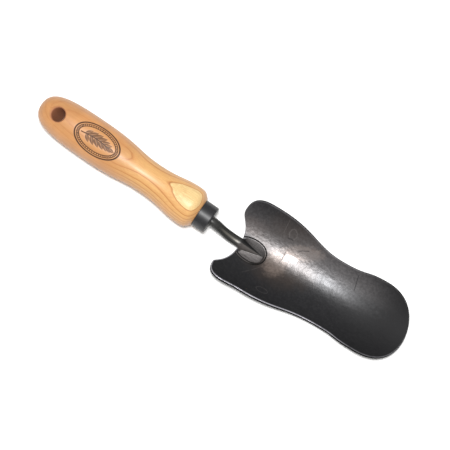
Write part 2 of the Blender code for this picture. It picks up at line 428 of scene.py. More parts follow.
def holeCutter():
    radius, easing = handleShape["holeRadius"], handleShape["easing"]
    surface, width = handleShape["countersink"]
    reach, throat = radius + 14.0, surface - width
    side = [(reach, 0.0), (reach, radius + reach - throat)]
    for f in (1.0, 0.75, 0.5, 0.25):
        side.append((throat + easing * f * f, radius + easing * (f * f * 0.6 + 0.4 * f ** 3)))
    side += [(throat - 0.45, radius)]
    side += [(-z, r) for z, r in reversed(side)]
    points, count = [], 112
    tilt = holeTurn()
    middle = Vector((handleShape["holeAt"], 0.0, 0.0))
    for z, r in side:
        for step in range(count):
            angle = 2 * math.pi * step / count
            local = tilt @ Vector((r * math.cos(angle), r * math.sin(angle), z)) + middle
            points.append(toolOrigin + local * 0.001)
    return meshPiece("hole_cutter", points, gridFaces(len(side), count))


def segmentDistance(a, b, start, end):
    d = np.array(end) - np.array(start)
    t = np.clip(((a - start[0]) * d[0] + (b - start[1]) * d[1]) / (d @ d), 0, 1)
    return np.hypot(a - start[0] - t * d[0], b - start[1] - t * d[1])


def leafDistance(a, b, root, angle, length, width):
    # a pointed leaf as two arcs; below 0 inside
    along = (a - root[0]) * math.cos(angle) + (b - root[1]) * math.sin(angle)
    side = -(a - root[0]) * math.sin(angle) + (b - root[1]) * math.cos(angle)
    share = np.clip(along / length, 0, 1)
    edge = width * np.sin(math.pi * share ** 0.8) ** 0.85
    outside = np.maximum(np.abs(along - length / 2) - length / 2, 0)
    return np.maximum(np.abs(side) - edge, outside - 0.05), np.abs(side), share


burntMark = {
    "soft": 0.16,
    "rings": ((0.5, 1.15), (2.1, 0.62), (3.75, 0.72)),  # (inset, width)
    "strokes": {"count": 54, "insets": (3.45, 2.35), "width": 0.55},
    "stem": {"from": -14, "to": 10, "width": 0.75},
    "leaves": ((-10.5, 6.2), (-7.0, 7.0), (-3.4, 7.3), (0.4, 7.0), (4.2, 6.0), (7.6, 4.8)),
    "lastLeaf": (9.6, 5.6, 1.35),  # (place, length, width)
    "seeds": ((-15.2, 3.2), (-15.2, -3.2), (15.9, 0.0)),
    "seedWidth": 0.9,
}


def markBurn(a, b):
    # how deeply each point is burnt: rings with short strokes between them, a sprig and seeds
    halfA, halfB = handleShape["markHalf"]
    soft = burntMark["soft"]

    def line(distance, width):
        return np.clip((width / 2 - distance) / soft + 0.5, 0, 1)

    def ellipseGap(inset):
        p, q = halfA - inset, halfB - inset
        level = np.hypot(a / p, b / q)
        slope = np.hypot(a / p ** 2, b / q ** 2) / np.maximum(level, 1e-6)
        return (level - 1) / np.maximum(slope, 1e-6)

    def stem(x):
        return x, 0.9 * math.sin((x + 14) / 28 * math.pi * 1.4 - 0.6)

    marks = [line(np.abs(ellipseGap(inset)), width) for inset, width in burntMark["rings"]]
    strokes = burntMark["strokes"]
    for index in range(strokes["count"]):
        angle = 2 * math.pi * index / strokes["count"]
        ends = [((halfA - inset) * math.cos(angle), (halfB - inset) * math.sin(angle))
                for inset in strokes["insets"]]
        marks.append(line(segmentDistance(a, b, *ends), strokes["width"]))
    for x in range(burntMark["stem"]["from"], burntMark["stem"]["to"]):
        marks.append(line(segmentDistance(a, b, stem(x), stem(x + 1)), burntMark["stem"]["width"]))
    place, length, width = burntMark["lastLeaf"]
    leaves = [(stem(place), -6, length, width)]
    for index, (place, length) in enumerate(burntMark["leaves"]):
        x, y = stem(place)
        for side, shift in ((1, 0.0), (-1, 0.9)):
            leaves.append(((x + shift, y), side * (47 - 3 * index), length, length * 0.23))
    for root, angle, length, width in leaves:
        gap, side, share = leafDistance(a, b, root, math.radians(angle), length, width)
        rib = line(side, 0.26) * (share > 0.08) * (share < 0.88)
        marks.append(np.clip(-gap / soft + 0.5, 0, 1) * (1 - 0.85 * rib))
    marks += [line(np.hypot(a - x, b - y), burntMark["seedWidth"]) for x, y in burntMark["seeds"]]
    return np.max(marks, axis=0)


def makeHandle(material):
    outline = handleRun()
    shoulder = handleShape["outline"][-1][0][0]
    end, tenon = handleShape["tenon"]
    bottom, mouth = handleShape["bore"]
    profile = [tuple(p) for p in outline] + [(shoulder, tenon), (end, tenon), (end, mouth)]
    profile += [(handleShape["boreEnd"], bottom), (handleShape["boreEnd"], 0.0)]
    handle = turnOnLathe("handle_wood", profile, handleAngles())
    cutter = holeCutter()
    cut = handle.modifiers.new("hanging hole", "BOOLEAN")
    cut.operation = "DIFFERENCE"
    cut.solver = "EXACT"
    cut.object = cutter
    shaped = bakeMesh(handle)
    handle.data = shaped
    bpy.data.objects.remove(cutter)

    place = np.zeros(len(shaped.vertices) * 3)
    shaped.vertices.foreach_get("co", place)
    local = (place.reshape(-1, 3) - np.array(toolOrigin)) * 1000
    radius = np.hypot(local[:, 1], local[:, 2])
    skin = np.interp(local[:, 0], outline[:, 0], outline[:, 1])
    around = np.arctan2(local[:, 1], local[:, 2]) + math.radians(handleShape["markRoll"])
    a = local[:, 0] - handleShape["markAt"]
    b = around * handleShape["markRadius"]
    halfA, halfB = handleShape["markHalf"]
    near = (np.abs(radius - skin) < 0.12) & (np.abs(a) < halfA + 1) & (np.abs(b) < halfB + 1)
    burn = np.zeros(len(local))
    burn[near] = markBurn(a[near], b[near])
    local[:, 1:] *= (1 - burn * handleShape["markDepth"] / np.maximum(radius, 1))[:, None]
    place = local * 0.001 + np.array(toolOrigin)
    shaped.vertices.foreach_set("co", place.reshape(-1))
    addValues(shaped, "burn", burn)

    # how far each point lies inside the hanging hole, for the painted shade and rougher wood there
    axis = np.array(holeTurn() @ Vector((0, 0, 1)))
    fromHole = local - np.array((handleShape["holeAt"], 0, 0))
    height = fromHole @ axis
    reach = np.linalg.norm(fromHole - height[:, None] * axis, axis=1)
    inside = np.clip((handleShape["holeRadius"] + 1.3 - reach) / 1.2, 0, 1) * (np.abs(height) < 15.5)
    addValues(shaped, "boredAndShaded", inside)
    shaped.shade_smooth()
    shaped.set_sharp_from_angle(angle=math.radians(42))
    dressPiece(handle, "handle", material)
    print("handle:", len(shaped.polygons), "faces")


woodFinish = {
    "layer": 2.75,  # thickness of a year's growth, millimetres
    "top": 17.15,  # height of the layer that ends in the pale oval
    "tilt": 8.0,  # of the growth layers, degrees
    "runout": 0.013,  # how fast they climb along the handle
    "waves": (2.6, 0.75),  # how far long and short waves lift them
    "early": (0.68, 0.405, 0.155),
    "late": (0.52, 0.235, 0.075),
    "line": (0.27, 0.098, 0.030),
    "rear": (0.47, 0.215, 0.088),
    "burnt": (0.052, 0.019, 0.008),
    "boredAndShaded": (0.36, 0.145, 0.070),
    "pale": (0.76, 0.59, 0.28),
    "fibre": (0.48, 0.215, 0.072),
    "pore": (0.38, 0.165, 0.055),
    "blotch": (0.80, 0.37, 0.13),
    "flankShade": (0.32, 0.155, 0.075),
    "endDarkening": (0.45, 0.22, 0.09),
}


def makeAsh():
    mat = Bench("turned ash", woodFinish)
    grain = mat.localMillimetres(toolOrigin)
    x, y, z = mat.axes(grain)
    tilt = math.radians(woodFinish["tilt"])
    height = mat.plus(mat.times(z, math.cos(tilt)), mat.times(y, math.sin(tilt)))
    height = mat.scaleAdd(x, woodFinish["runout"], height)
    slow = mat.streaks(grain, (0.022, 0.06, 0.06), 2.0, 0.5)
    wavy = mat.streaks(grain, (0.07, 0.22, 0.22), 3.0, 0.5)
    for wave, lift in zip((slow, wavy), woodFinish["waves"]):
        height = mat.scaleAdd(wave, lift, height)
    layer = mat.calc("DIVIDE", mat.minus(height, woodFinish["top"]), woodFinish["layer"])
    phase = mat.calc("FRACT", layer)
    early, late = woodFinish["early"], woodFinish["late"]
    mat.colour = mat.ramp(phase, (
        (0.00, woodFinish["line"]),
        (0.060, late),
        (0.16, tuple(0.45 * a + 0.55 * b for a, b in zip(late, early))),
        (0.42, early),
        (0.86, early),
        (0.97, late),
        (1.00, woodFinish["line"]),
    ))
    # the rear half is sawn closer to the quarter and shows a plain, warmer colour
    rear = mat.fade(x, 62.0, 98.0)
    cap = mat.step(layer, 0.0, 0.10)  # the pale oval on the front swell
    mat.lay("pale", cap, mat.flip(rear))
    plain = mat.streaks(grain, (0.012, 0.55, 0.55), 3.0, 0.6)
    plain = mat.mix(plain, tint(woodFinish["rear"], 0.74), tint(woodFinish["rear"], 1.20))
    mat.lay(plain, rear, 0.78)

    fibre = mat.streaks(grain, (0.05, 2.2, 2.2), 4.0, 0.6)
    fibrous = mat.mix(0.50, mat.colour, woodFinish["fibre"])
    mat.colour = mat.mix(mat.step(fibre, 0.35, 0.75), fibrous, mat.colour)
    pore = mat.step(mat.streaks(grain, (0.16, 3.6, 3.6), 2.0, 0.5), 0.60, 0.70)
    pore = mat.times(pore, mat.scaleAdd(mat.step(phase, 0.30, 0.60), 0.55, 0.30))
    mat.lay("pore", pore, 0.55)
    blotch = mat.step(mat.noise(grain, 0.055, 3.0, 0.5), 0.45, 0.75)
    mat.lay("blotch", blotch, 0.22)
    # painted shade: the flanks and underside are coloured darker, where less light falls on them
    flankShade = mat.fade(z, -1.0, 12.0)
    mat.lay("flankShade", flankShade, 0.42)
    # the handle is coloured darker towards both ends
    endDarkening = mat.most(mat.step(x, 138.0, 144.0), mat.fade(x, 0.0, 7.0))
    mat.lay("endDarkening", endDarkening, 0.30)

    # painted shade: the hanging hole's walls and chamfer are coloured dark brown; their rougher finish
    # is the drilled wood's own
    boredAndShaded = mat.read("boredAndShaded")
    rough = mat.noise(grain, 1.6, 3.0)
    rough = mat.mix(rough, tint(woodFinish["boredAndShaded"], 0.75), tint(woodFinish["boredAndShaded"], 1.25))
    mat.lay(rough, boredAndShaded)
    burn = mat.read("burn")
    patchy = mat.step(mat.noise(grain, 0.9, 3.0), 0.22, 0.50)
    char = mat.times(burn, mat.scaleAdd(patchy, 0.06, 0.94))
    mat.lay("burnt", char)

    gloss = mat.scaleAdd(fibre, 0.16, 0.34)
    gloss = mat.scaleAdd(mat.most(burn, boredAndShaded), 0.35, gloss)
    relief = mat.bump(mat.scaleAdd(pore, -0.6, mat.times(fibre, 0.5)), 0.00005, 0.55)
    return mat.dress(Roughness=gloss, Normal=relief, Specular_IOR_Level=0.42, Coat_Weight=0.10,
                       Coat_Roughness=0.28)


makeHandle(makeAsh())


ferruleShape = {
    "start": 143.7,
    "length": 11.0,
    "radius": 10.85,
    "wall": 1.2,
    "round": 1.3,
    "throat": 4.05,
}


def makeFerrule(material):
    start, end = ferruleShape["start"], ferruleShape["start"] + ferruleShape["length"]
    outer, inner = ferruleShape["radius"], ferruleShape["radius"] - ferruleShape["wall"]
    bend, throat, wall = ferruleShape["round"], ferruleShape["throat"], ferruleShape["wall"]
    profile = [(end - 0.25, throat), (end - 0.07, throat + 0.07), (end, throat + 0.25)]
    profile += [(end, throat + (outer - bend - throat) * f) for f in (0.35, 0.7)]
    for step in range(11):
        angle = math.radians(9 * step)
        profile.append((end - bend * (1 - math.cos(angle)), outer - bend * (1 - math.sin(angle))))
    profile += [(end - 1.9, outer), (end - 5.0, outer), (start + 4.0, outer), (start + 1.0, outer)]
    profile += [(start + 0.35, outer), (start + 0.1, outer - 0.1), (start, outer - 0.35)]
    profile += [(start, inner + 0.15), (start + 0.15, inner), (end - wall, inner), (end - wall, throat)]
    angles = np.linspace(0, 2 * math.pi, 145)[:-1]
    ferrule = turnOnLathe("ferrule_cap", profile, angles, closed=True)
    dressPiece(ferrule, "ferrule", material)
    print("ferrule:", len(ferrule.data.polygons), "faces")


ferruleFinish = {
    "dark": (0.0085, 0.0085, 0.0100),
    "light": (0.0155, 0.0155, 0.0180),
    "speck": (0.075, 0.072, 0.07),
    "wornAndSheen": (0.13, 0.125, 0.12),
}


def makeFerruleBlack():
    mat = Bench("ferrule black", ferruleFinish)
    place = mat.localMillimetres(toolOrigin)
    x, y, z = mat.axes(place)
    cloud = mat.noise(place, 0.35, 4.0, 0.6)
    drawn = mat.streaks(place, (0.5, 3.0, 3.0), 3.0, 0.6)
    speck = mat.step(mat.noise(place, 2.6, 3.0, 0.6), 0.66, 0.74)
    mat.colour = mat.mix(cloud, ferruleFinish["dark"], ferruleFinish["light"])
    mat.lay("speck", speck, 0.5)
    front = mat.step(x, 153.4, 154.4)  # partly wear, partly painted sheen along the rounded front
    back = mat.fade(x, 143.8, 144.3)
    # the rounded edges are lighter: partly wear, partly painted sheen
    wornAndSheen = mat.times(mat.most(front, back), mat.step(cloud, 0.45, 0.62))
    mat.lay("wornAndSheen", wornAndSheen, 0.5)
    relief = mat.bump(mat.scaleAdd(speck, 0.4, mat.times(drawn, 0.5)), 0.00004, 0.5)
    gloss = mat.scaleAdd(drawn, 0.14, 0.36)
    return mat.dress(Roughness=gloss, Normal=relief, Specular_IOR_Level=0.5)


makeFerrule(makeFerruleBlack())


bladeShape = {
    "origin": (180.6, 1.5, 1.9 - 16.4),  # its heel notch, in the tool's axes
    "yaw": 3.3,
    "thickness": 1.9,
    "acrossRadius": 48.0,
    "alongRadius": 970.0,
    "lowestAt": 35.0,
    "upturn": 0.65,  # share of the lengthwise curve that gathers towards the tip
    "tip": 142.7,
    "right": (
        ((0.8, 0), None, (0, 15.0)),
        ((-8.8, 22.6), (0, -6.4), (0, 12.3)),
        ((14.5, 34.4), (-11.1, 0), (29.6, 0)),
        ((72.6, 26.3), (-21.2, 0), (24.3, 0)),
        ((110.5, 29.6), (-19.7, 0), (26.2, 0)),
        ((142.7, -1.5), (0, 10.7), None),
    ),
    "left": (
        ((0.8, 0), None, (0, -18.5)),
        ((-9.9, -23.3), (0, 2.0), (0, -15.0)),
        ((16.2, -33.0), (-9.4, 0), (35.7, 0)),
        ((84.3, -24.8), (-34.2, 0), (15.3, 0)),
        ((114.2, -26.8), (-21.3, 0), (25.4, 0)),
        ((142.7, -1.5), (0, -7.0), None),
    ),
}

bladeTurn = Matrix.Rotation(math.radians(bladeShape["yaw"]), 3, "Z")
bladeOrigin = toolOrigin + Vector(bladeShape["origin"]) * 0.001


def toBlade(point):
    return bladeOrigin + bladeTurn @ Vector(point) * 0.001


def dishHeight(x, y):
    # height of the hollow face; x and y are arrays in the blade's axes
    radius, length = bladeShape["acrossRadius"], bladeShape["alongRadius"]
    low = bladeShape["lowestAt"]
    across = radius - np.sqrt(radius ** 2 - y ** 2)
    even = (x - low) ** 2 / (2 * length)
    ahead = np.maximum(x - low, 0) / (bladeShape["tip"] - low)
    eased = 1 - bladeShape["upturn"] * (1 - ahead ** 1.2)
    return across + even * np.where(x > low, eased, 1.0)


def dishNormal(x, y):
    step = 0.05
    slopeX = (dishHeight(x + step, y) - dishHeight(x - step, y)) / (2 * step)
    slopeY = (dishHeight(x, y + step) - dishHeight(x, y - step)) / (2 * step)
    normal = np.stack([-slopeX, -slopeY, np.ones_like(slopeX)], axis=1)
    return normal / np.linalg.norm(normal, axis=1)[:, None]


def makeBlade(material):
    sideCount = 230
    share = np.linspace(0, 1, sideCount + 1)
    right, left = (bezierRun(bladeShape[side], 120) for side in ("right", "left"))
    right, left = (alongRun(run, share * distances(run)[-1]) for run in (right, left))
    ring = np.concatenate([right, left[-2:0:-1]])
    fraction = np.concatenate([share, share[-2:0:-1]])
    count = len(ring)
    tangent = np.roll(ring, -1, axis=0) - np.roll(ring, 1, axis=0)
    tangent /= np.linalg.norm(tangent, axis=1)[:, None]
    inward = np.stack([tangent[:, 1], -tangent[:, 0]], axis=1)
    within = np.array((60.0, 0.0))
    if (inward[sideCount // 2] @ (within - ring[sideCount // 2])) < 0:
        inward = -inward
    # the middle line that the rings of the sheet close up on
    spine = np.stack([11 + 111 * fraction ** 1.35, -1.4 * fraction], axis=1)
    inner = ring + inward * 0.95
    thick, steps = bladeShape["thickness"], 30
    closing = [inner + (spine - inner) * (step / steps) ** 1.15 for step in range(steps + 1)]

    # each row with its depth under the hollow face and its painted rim light, from the middle round to
    # the back: above 0 for the arris highlight, below 0 for shade on the edge face
    rows = [(row, 0.0, 0.0) for row in reversed(closing)]
    rows += [(ring + inward * inset, depth, rimSheenAndShade) for inset, depth, rimSheenAndShade in (
        (0.72, 0.0, 0.25), (0.42, 0.0, 0.9), (0.16, 0.05, 1.0), (0.04, 0.17, 1.0), (0.0, 0.36, -0.5),
        (0.0, 0.6, -1.0), (0.0, thick - 0.55, -1.0), (0.0, thick - 0.3, -1.0),
        (0.09, thick - 0.09, -0.6), (0.3, thick, 0.0),
    )]
    rows += [(row, thick, 0.0) for row in closing]
    placed, hollow = [], []
    for row, depth, rimSheenAndShade in rows:
        height = dishHeight(row[:, 0], row[:, 1])
        solid = np.column_stack([row, height]) - dishNormal(row[:, 0], row[:, 1]) * depth
        placed += [toBlade(p) for p in solid]
        hollow += [float(depth < thick / 2)] * count
    # hollow is 1 on the hollow face and 0 on the back, so that stains don't show through the sheet
    values = {"wornAndSheen": np.repeat([rimSheenAndShade for _, _, rimSheenAndShade in rows], count), "hollow": hollow}
    blade = meshPiece("blade_sheet", placed, gridFaces(len(rows), count), 60, values)
    dressPiece(blade, "blade", material)
    print("blade:", len(blade.data.polygons), "faces")


bladeFinish = {
    "black": (0.0126, 0.0126, 0.0138),
    "mottled": (0.024, 0.0235, 0.025),
    "brown": (0.036, 0.027, 0.0225),
    "pink": (0.250, 0.195, 0.165),
    "lobe": (0.070, 0.052, 0.045),
    "sheenGrey": (0.125, 0.117, 0.119),
    "sheenStraw": (0.190, 0.190, 0.196),
    "glint": (0.52, 0.50, 0.50),
    "marks": (0.17, 0.155, 0.15),
    "dark": (0.012, 0.011, 0.012),
    "arrisHighlight": (0.46, 0.45, 0.49),
    "tipShade": (0.0030, 0.0030, 0.0034),
    "edge": (0.0030, 0.0030, 0.0032),
    # stains as ragged ovals: (middle, half lengths, turn in degrees, softness)
    "heatPatch": ((34.0, 10.0), (28.0, 24.0), 12.0, 0.38),
    "pinkPatch": ((31.5, 0.5), (8.5, 10.0), -8.0, 0.40),
    "pinkTopPatch": ((45.0, 17.0), (14.0, 5.5), 22.0, 0.34),
    "lobePatch": ((2.0, 15.0), (11.0, 6.0), 10.0, 0.5),
    "highlightPatch": ((50.0, 9.6), (47.0, 8.6), 0.0, 0.65),
    "glintPatch": ((41.0, 9.6), (3.3, 2.7), 6.0, 0.20),
    # two rings left by water: (middle, half lengths, turn)
    "rings": (((31.5, 25.0), (2.9, 3.6), 15.0), ((32.8, -23.4), (4.6, 2.0), 8.0)),
    # pale and dark lines: (start, end, width, strength)
    "scratches": (
        ((23.6, 33.0), (24.6, 22.0), 0.34, 0.22), ((24.6, 22.0), (28.0, 19.0), 0.32, 0.20),
        ((23.2, -7.5), (17.6, -14.5), 0.42, 0.11), ((17.6, -14.5), (12.2, -20.0), 0.42, 0.09),
    ),
    "strokes": (
        ((89.0, 25.0), (92.5, 12.5), 0.45, 1.0), ((40.0, 16.4), (49.0, 21.5), 0.45, 0.9),
        ((33.5, 13.0), (33.8, 4.0), 0.45, 0.9), ((28.5, 21.0), (34.5, 21.8), 0.7, 0.9),
    ),
}


def makeBladeSteel():
    mat = Bench("heat-blued steel", bladeFinish)
    place = mat.localMillimetres(bladeOrigin, bladeShape["yaw"])
    x, y, z = mat.axes(place)
    cloud = mat.noise(place, 0.11, 5.0, 0.6)
    mottle = mat.noise(place, 0.55, 5.0, 0.65)
    fine = mat.noise(place, 2.3, 4.0, 0.65)
    wobble = mat.scaleAdd(mat.noise(place, 0.16, 4.0, 0.6), 14.0, -7.0)
    ragged = mat.scaleAdd(mat.noise(place, 0.45, 4.0, 0.6), 7.0, -3.5)
    hollow = mat.read("hollow")

    def turned(start, c, s):
        # distances from a point, along a direction and across it
        dx, dy = mat.minus(x, start[0]), mat.minus(y, start[1])
        along = mat.plus(mat.times(dx, c), mat.times(dy, s))
        return along, mat.minus(mat.times(dy, c), mat.times(dx, s))

    def oval(middle, half, turn, shift):
        # 1 on the rim of an oval and less inside; shift is the noise added to the rim
        u, v = turned(middle, math.cos(math.radians(turn)), math.sin(math.radians(turn)))
        u, v = mat.times(u, 1 / half[0]), mat.times(v, 1 / half[1])
        level = mat.calc("SQRT", mat.plus(mat.times(u, u), mat.times(v, v)))
        return mat.scaleAdd(shift, 1.0 / min(half), level)

    def patch(name, shift):
        middle, half, turn, soft = bladeFinish[name]
        return mat.step(mat.flip(oval(middle, half, turn, shift)), -soft, soft)

    def ringMark(ring, shift, width):
        level = oval(*bladeFinish["rings"][ring], mat.times(ragged, shift))
        return mat.fade(mat.calc("ABSOLUTE", mat.minus(level, 1.0)), 0.0, width)

    def strokes(name):
        best = 0.0
        for start, end, width, strength in bladeFinish[name]:
            d = (end[0] - start[0], end[1] - start[1])
            size = math.hypot(*d)
            along, aside = turned(start, d[0] / size, d[1] / size)
            aside = mat.calc("ABSOLUTE", mat.scaleAdd(ragged, 0.16, aside))
            ends = mat.times(mat.step(along, 0.0, 1.5), mat.fade(along, size - 1.5, size))
            inLine = mat.times(mat.fade(aside, width * 0.4, width), ends)
            best = mat.most(best, mat.times(inLine, strength))
        return best

    black = bladeFinish["black"]
    mat.colour = mat.mix(cloud, tint(black, 0.82), tint(black, 1.30))
    mat.lay("mottled", mat.step(mottle, 0.42, 0.66), 0.5)

    # heat from the weld browned the steel beyond the palm, more on the right than on the left
    mat.lay("brown", patch("heatPatch", wobble), 0.75)
    pink = mat.most(mat.times(patch("pinkPatch", ragged), 0.42), patch("pinkTopPatch", ragged))
    pink = mat.times(pink, mat.scaleAdd(mat.step(mottle, 0.30, 0.62), 0.35, 0.50))
    mat.lay("pink", pink, hollow)
    mat.lay("lobe", patch("lobePatch", ragged), 0.5)
    # painted light: the right side is lightened, standing in for the wide shoulder of the highlight
    # there
    mat.lay(
        "sheenGrey",
        mat.step(y, 9.0, 17.0),
        mat.scaleAdd(mat.fade(y, 20.0, 33.0), 0.60, 0.40),
        mat.scaleAdd(mat.step(x, 22.0, 52.0), 0.55, 0.45),
        mat.fade(x, 92.0, 136.0),
        mat.scaleAdd(mat.step(mottle, 0.3, 0.7), 0.35, 0.45),
    )

    # painted highlight: lighter, more metallic steel laid along the highlight streak
    rubbedAndSheen = patch("highlightPatch", ragged)
    rubbedAndSheen = mat.times(rubbedAndSheen, mat.scaleAdd(mat.step(mottle, 0.22, 0.62), 0.40, 0.60))
    # painted shade: darker towards the tip, where the blade turns away from the light
    mat.lay("tipShade", mat.step(x, 60.0, 135.0), 0.60)
    # painted glint: a small bright, metallic spot on the hollow face
    glintSpot = mat.times(patch("glintPatch", mat.times(ragged, 0.42)), hollow)
    shine = mat.times(mat.fade(x, 68.0, 130.0), mat.scaleAdd(rubbedAndSheen, 0.64, 0.14))
    shine = mat.most(shine, mat.times(glintSpot, 0.9))
    mat.lay("sheenStraw", rubbedAndSheen, 0.34)
    mat.lay("glint", glintSpot, 0.26)

    # water rings, scratches, dark strokes and pits
    marks = mat.times(ringMark(0, 0.42, 0.20), 0.30)
    marks = mat.most(marks, mat.times(ringMark(1, 0.12, 0.16), 0.14))
    marks = mat.most(marks, strokes("scratches"))
    mat.lay("marks", marks, hollow)
    dark = mat.times(strokes("strokes"), hollow)
    pits = mat.step(mat.noise(place, 1.15, 3.0, 0.6), 0.685, 0.735)
    pits = mat.times(pits, mat.fade(x, 70.0, 110.0))
    mat.lay("dark", mat.most(dark, pits), 0.75)

    # painted highlight: a bright line round the rim, strongest on the left and towards the heel, broken
    # here and there
    rimSheenAndShade = mat.read("wornAndSheen")
    edge = mat.most(mat.times(rimSheenAndShade, -1.0), 0.0)  # the sheet's edge face, painted near black as shade
    arrisHighlight = mat.times(
        mat.most(rimSheenAndShade, 0.0),
        mat.scaleAdd(mat.fade(y, -14.0, 8.0), 0.92, 0.08),
        mat.scaleAdd(mat.step(mat.noise(place, 0.33, 4.0, 0.6), 0.30, 0.50), 0.55, 0.45),
        mat.scaleAdd(mat.fade(x, 56.0, 118.0), 0.82, 0.18),
    )
    mat.lay("arrisHighlight", arrisHighlight)
    # painted shade: the edge face is coloured near black
    mat.lay("edge", edge, 0.8)

    gloss = mat.scaleAdd(mottle, 0.18, 0.29)
    gloss = mat.scaleAdd(mat.step(x, 70.0, 128.0), 0.27, gloss)
    gloss = mat.scaleAdd(rubbedAndSheen, -0.07, gloss)
    gloss = mat.most(gloss, mat.times(edge, 0.97))
    metal = mat.most(mat.times(shine, 0.80), mat.times(arrisHighlight, 0.7))
    relief = mat.bump(cloud, 0.0011, 0.28)
    relief = mat.bump(mottle, 0.00010, 0.35, relief)
    skin = mat.scaleAdd(pits, -0.8, mat.scaleAdd(dark, -0.6, fine))
    relief = mat.bump(skin, 0.00005, 0.5, relief)
    return mat.dress(Metallic=metal, Roughness=gloss, Normal=relief, Specular_IOR_Level=0.20)


makeBlade(makeBladeSteel())


shankShape = {
    "tang": (90.0, 2.0),  # where it starts and its radius
    "tangFoot": (120.0, 2.98),
    "neck": 3.75,
    "heel": 3.9,
    "heelBack": -1.2,
    "leaveFerrule": 7.5,
    "reachBlade": 13.0,
    "palmLength": 21.7,
    "palmEdge": 1.3,
    "palmFoot": 2.3,
    "palmY": -1.1,
    "ribHalf": 4.7,
    "ribLength": 20.0,
    "ribRise": 5.2,
    "gap": 0.3,
    "flatTop": 0.10,  # how much the neck's top was hammered flat
    "hollow": 0.16,  # how deep the palm's facets were ground hollow
    "parts": (13, 9, 19, 9),  # points under, left, over and right of a section
}


def fan(first, last, count):
    return [math.radians(first + (last - first) * step / (count - 1)) for step in range(count)]


def roundSection(radius, flat=0.0):
    under, left, arch, right = shankShape["parts"]
    angles = fan(-30, -150, under) + fan(-160, -200, left) + fan(155, 25, arch) + fan(20, -20, right)
    section = []
    for angle in angles:
        up = math.sin(angle) * radius
        if up > 0:
            up *= 1 - flat * abs(math.sin(angle)) ** 3
        section.append(np.array((math.cos(angle) * radius, up)))
    return section


palmRun = bezierRun((
    ((0, 4.4), None, (1.8, 2.2)),
    ((11.0, 7.9), (-4.8, 0), (6.4, 0)),
    ((21.7, 0), (0, 5.0), None),
), 80)


def dishAt(x, y):
    return float(dishHeight(np.array([x]), np.array([y]))[0])


def palmSection(x, half):
    under, left, arch, right = shankShape["parts"]
    middle = shankShape["palmY"]

    def seatAt(v):
        return dishAt(x, middle + v) + shankShape["gap"]

    rib = max(1 - x / shankShape["ribLength"], 0.015)
    floor = [half * (1 - 2 * step / (under - 1)) for step in range(under)]
    section = [np.array((v, seatAt(v))) for v in floor]
    rims = [np.array((v, seatAt(v) + shankShape["palmEdge"])) for v in (-half, half)]
    foot = min(shankShape["ribHalf"] * rib, half * 0.8)
    base = seatAt(0) + shankShape["palmFoot"] * min(1.0, 0.55 + 0.45 * half / 3)
    ridge = []
    for angle in fan(180, 0, arch):
        c, s = math.cos(angle), math.sin(angle)
        lift = shankShape["ribRise"] * rib * (0.72 * s + 0.28 * (1 - abs(c)))
        ridge.append(np.array((foot * c, base + lift)))
    hollow = shankShape["hollow"] * min(1, x / 4)

    def facet(start, end, count, first):
        out = []
        for step in range(first, count + first):
            point = start + (end - start) * (step / count)
            point[1] -= hollow * math.sin(math.pi * step / count)
            out.append(point)
        return out

    return section + facet(rims[0], ridge[0], left, 0) + ridge + facet(ridge[-1], rims[1], right, 1)


def neckRings():
    # the round tang and neck, straight up to the ferrule's face and then bent down to the blade
    face = ferruleShape["start"] + ferruleShape["length"]
    tangX, tangRadius = shankShape["tang"]
    neck, heelRadius = shankShape["neck"], shankShape["heel"]
    rings = []
    for x, radius in ((tangX, 0.01), (tangX + 0.3, tangRadius - 0.2), (tangX + 1, tangRadius),
                      shankShape["tangFoot"], (ferruleShape["start"], neck), (face - 0.5, neck)):
        rings.append([np.array((x, v, w)) for v, w in roundSection(radius)])
    turn = np.array(bladeTurn)
    seat = (shankShape["heelBack"], shankShape["palmY"], heelHeight())
    heel = turn @ np.array(seat) + np.array(bladeShape["origin"])
    along = turn @ np.array((1.0, 0.0, 0.0))
    leave = (shankShape["leaveFerrule"], 0, 0)
    path = bezierRun((((face, 0, 0), None, leave), (heel, -along * shankShape["reachBlade"], None)), 44)
    last = len(path) - 1
    for index, point in enumerate(path):
        share = index / last
        ahead = path[min(index + 1, last)] - path[max(index - 1, 0)]
        forward = along if index == last else ahead / np.linalg.norm(ahead)
        side = np.cross((0, 0, 1), forward)
        side /= np.linalg.norm(side)
        top = np.cross(forward, side)
        radius = neck + (heelRadius - neck) * share
        radius += 0.10 * math.sin(share * 9.0) * math.sin(math.pi * share)  # hammered by hand
        flat = shankShape["flatTop"] * min(1, share * 5)
        rings.append([point + side * v + top * w for v, w in roundSection(radius, flat)])
    return rings


def heelHeight():
    # of the neck's middle line where it meets the palm, above the blade's notch
    return dishAt(0.0, 0.0) + shankShape["gap"] + shankShape["heel"]


def makeShank(material):
    rings = neckRings()
    turn = np.array(bladeTurn)
    centre = np.array((0.0, heelHeight()))
    heel = roundSection(shankShape["heel"], shankShape["flatTop"])
    stations = [0.25, 0.7, 1.2, 1.8, 2.4, 3.0, *np.linspace(3.6, 19.6, 33)]
    for x in stations + [20.1, 20.6, 21.0, 21.3, 21.5, 21.62]:
        half = float(np.interp(x, palmRun[:, 0], palmRun[:, 1]))
        flat = min(x / 3.6, 1.0)
        flat = flat * flat * (3 - 2 * flat)
        section = [(centre + a) * (1 - flat) + b * flat for a, b in zip(heel, palmSection(x, half))]
        corners = [np.array((x, shankShape["palmY"] + v, w)) for v, w in section]
        rings.append([turn @ corner + np.array(bladeShape["origin"]) for corner in corners])
    rings.append([np.mean(rings[-1], axis=0)] * len(rings[-1]))
    points = [toolOrigin + Vector(point) * 0.001 for ring in rings for point in ring]
    shank = meshPiece("shank_forging", points, gridFaces(len(rings), len(rings[0])), 34)
    mendMesh(shank.data, fill=True)
    dressPiece(shank, "shank", material)
    print("shank:", len(shank.data.polygons), "faces")


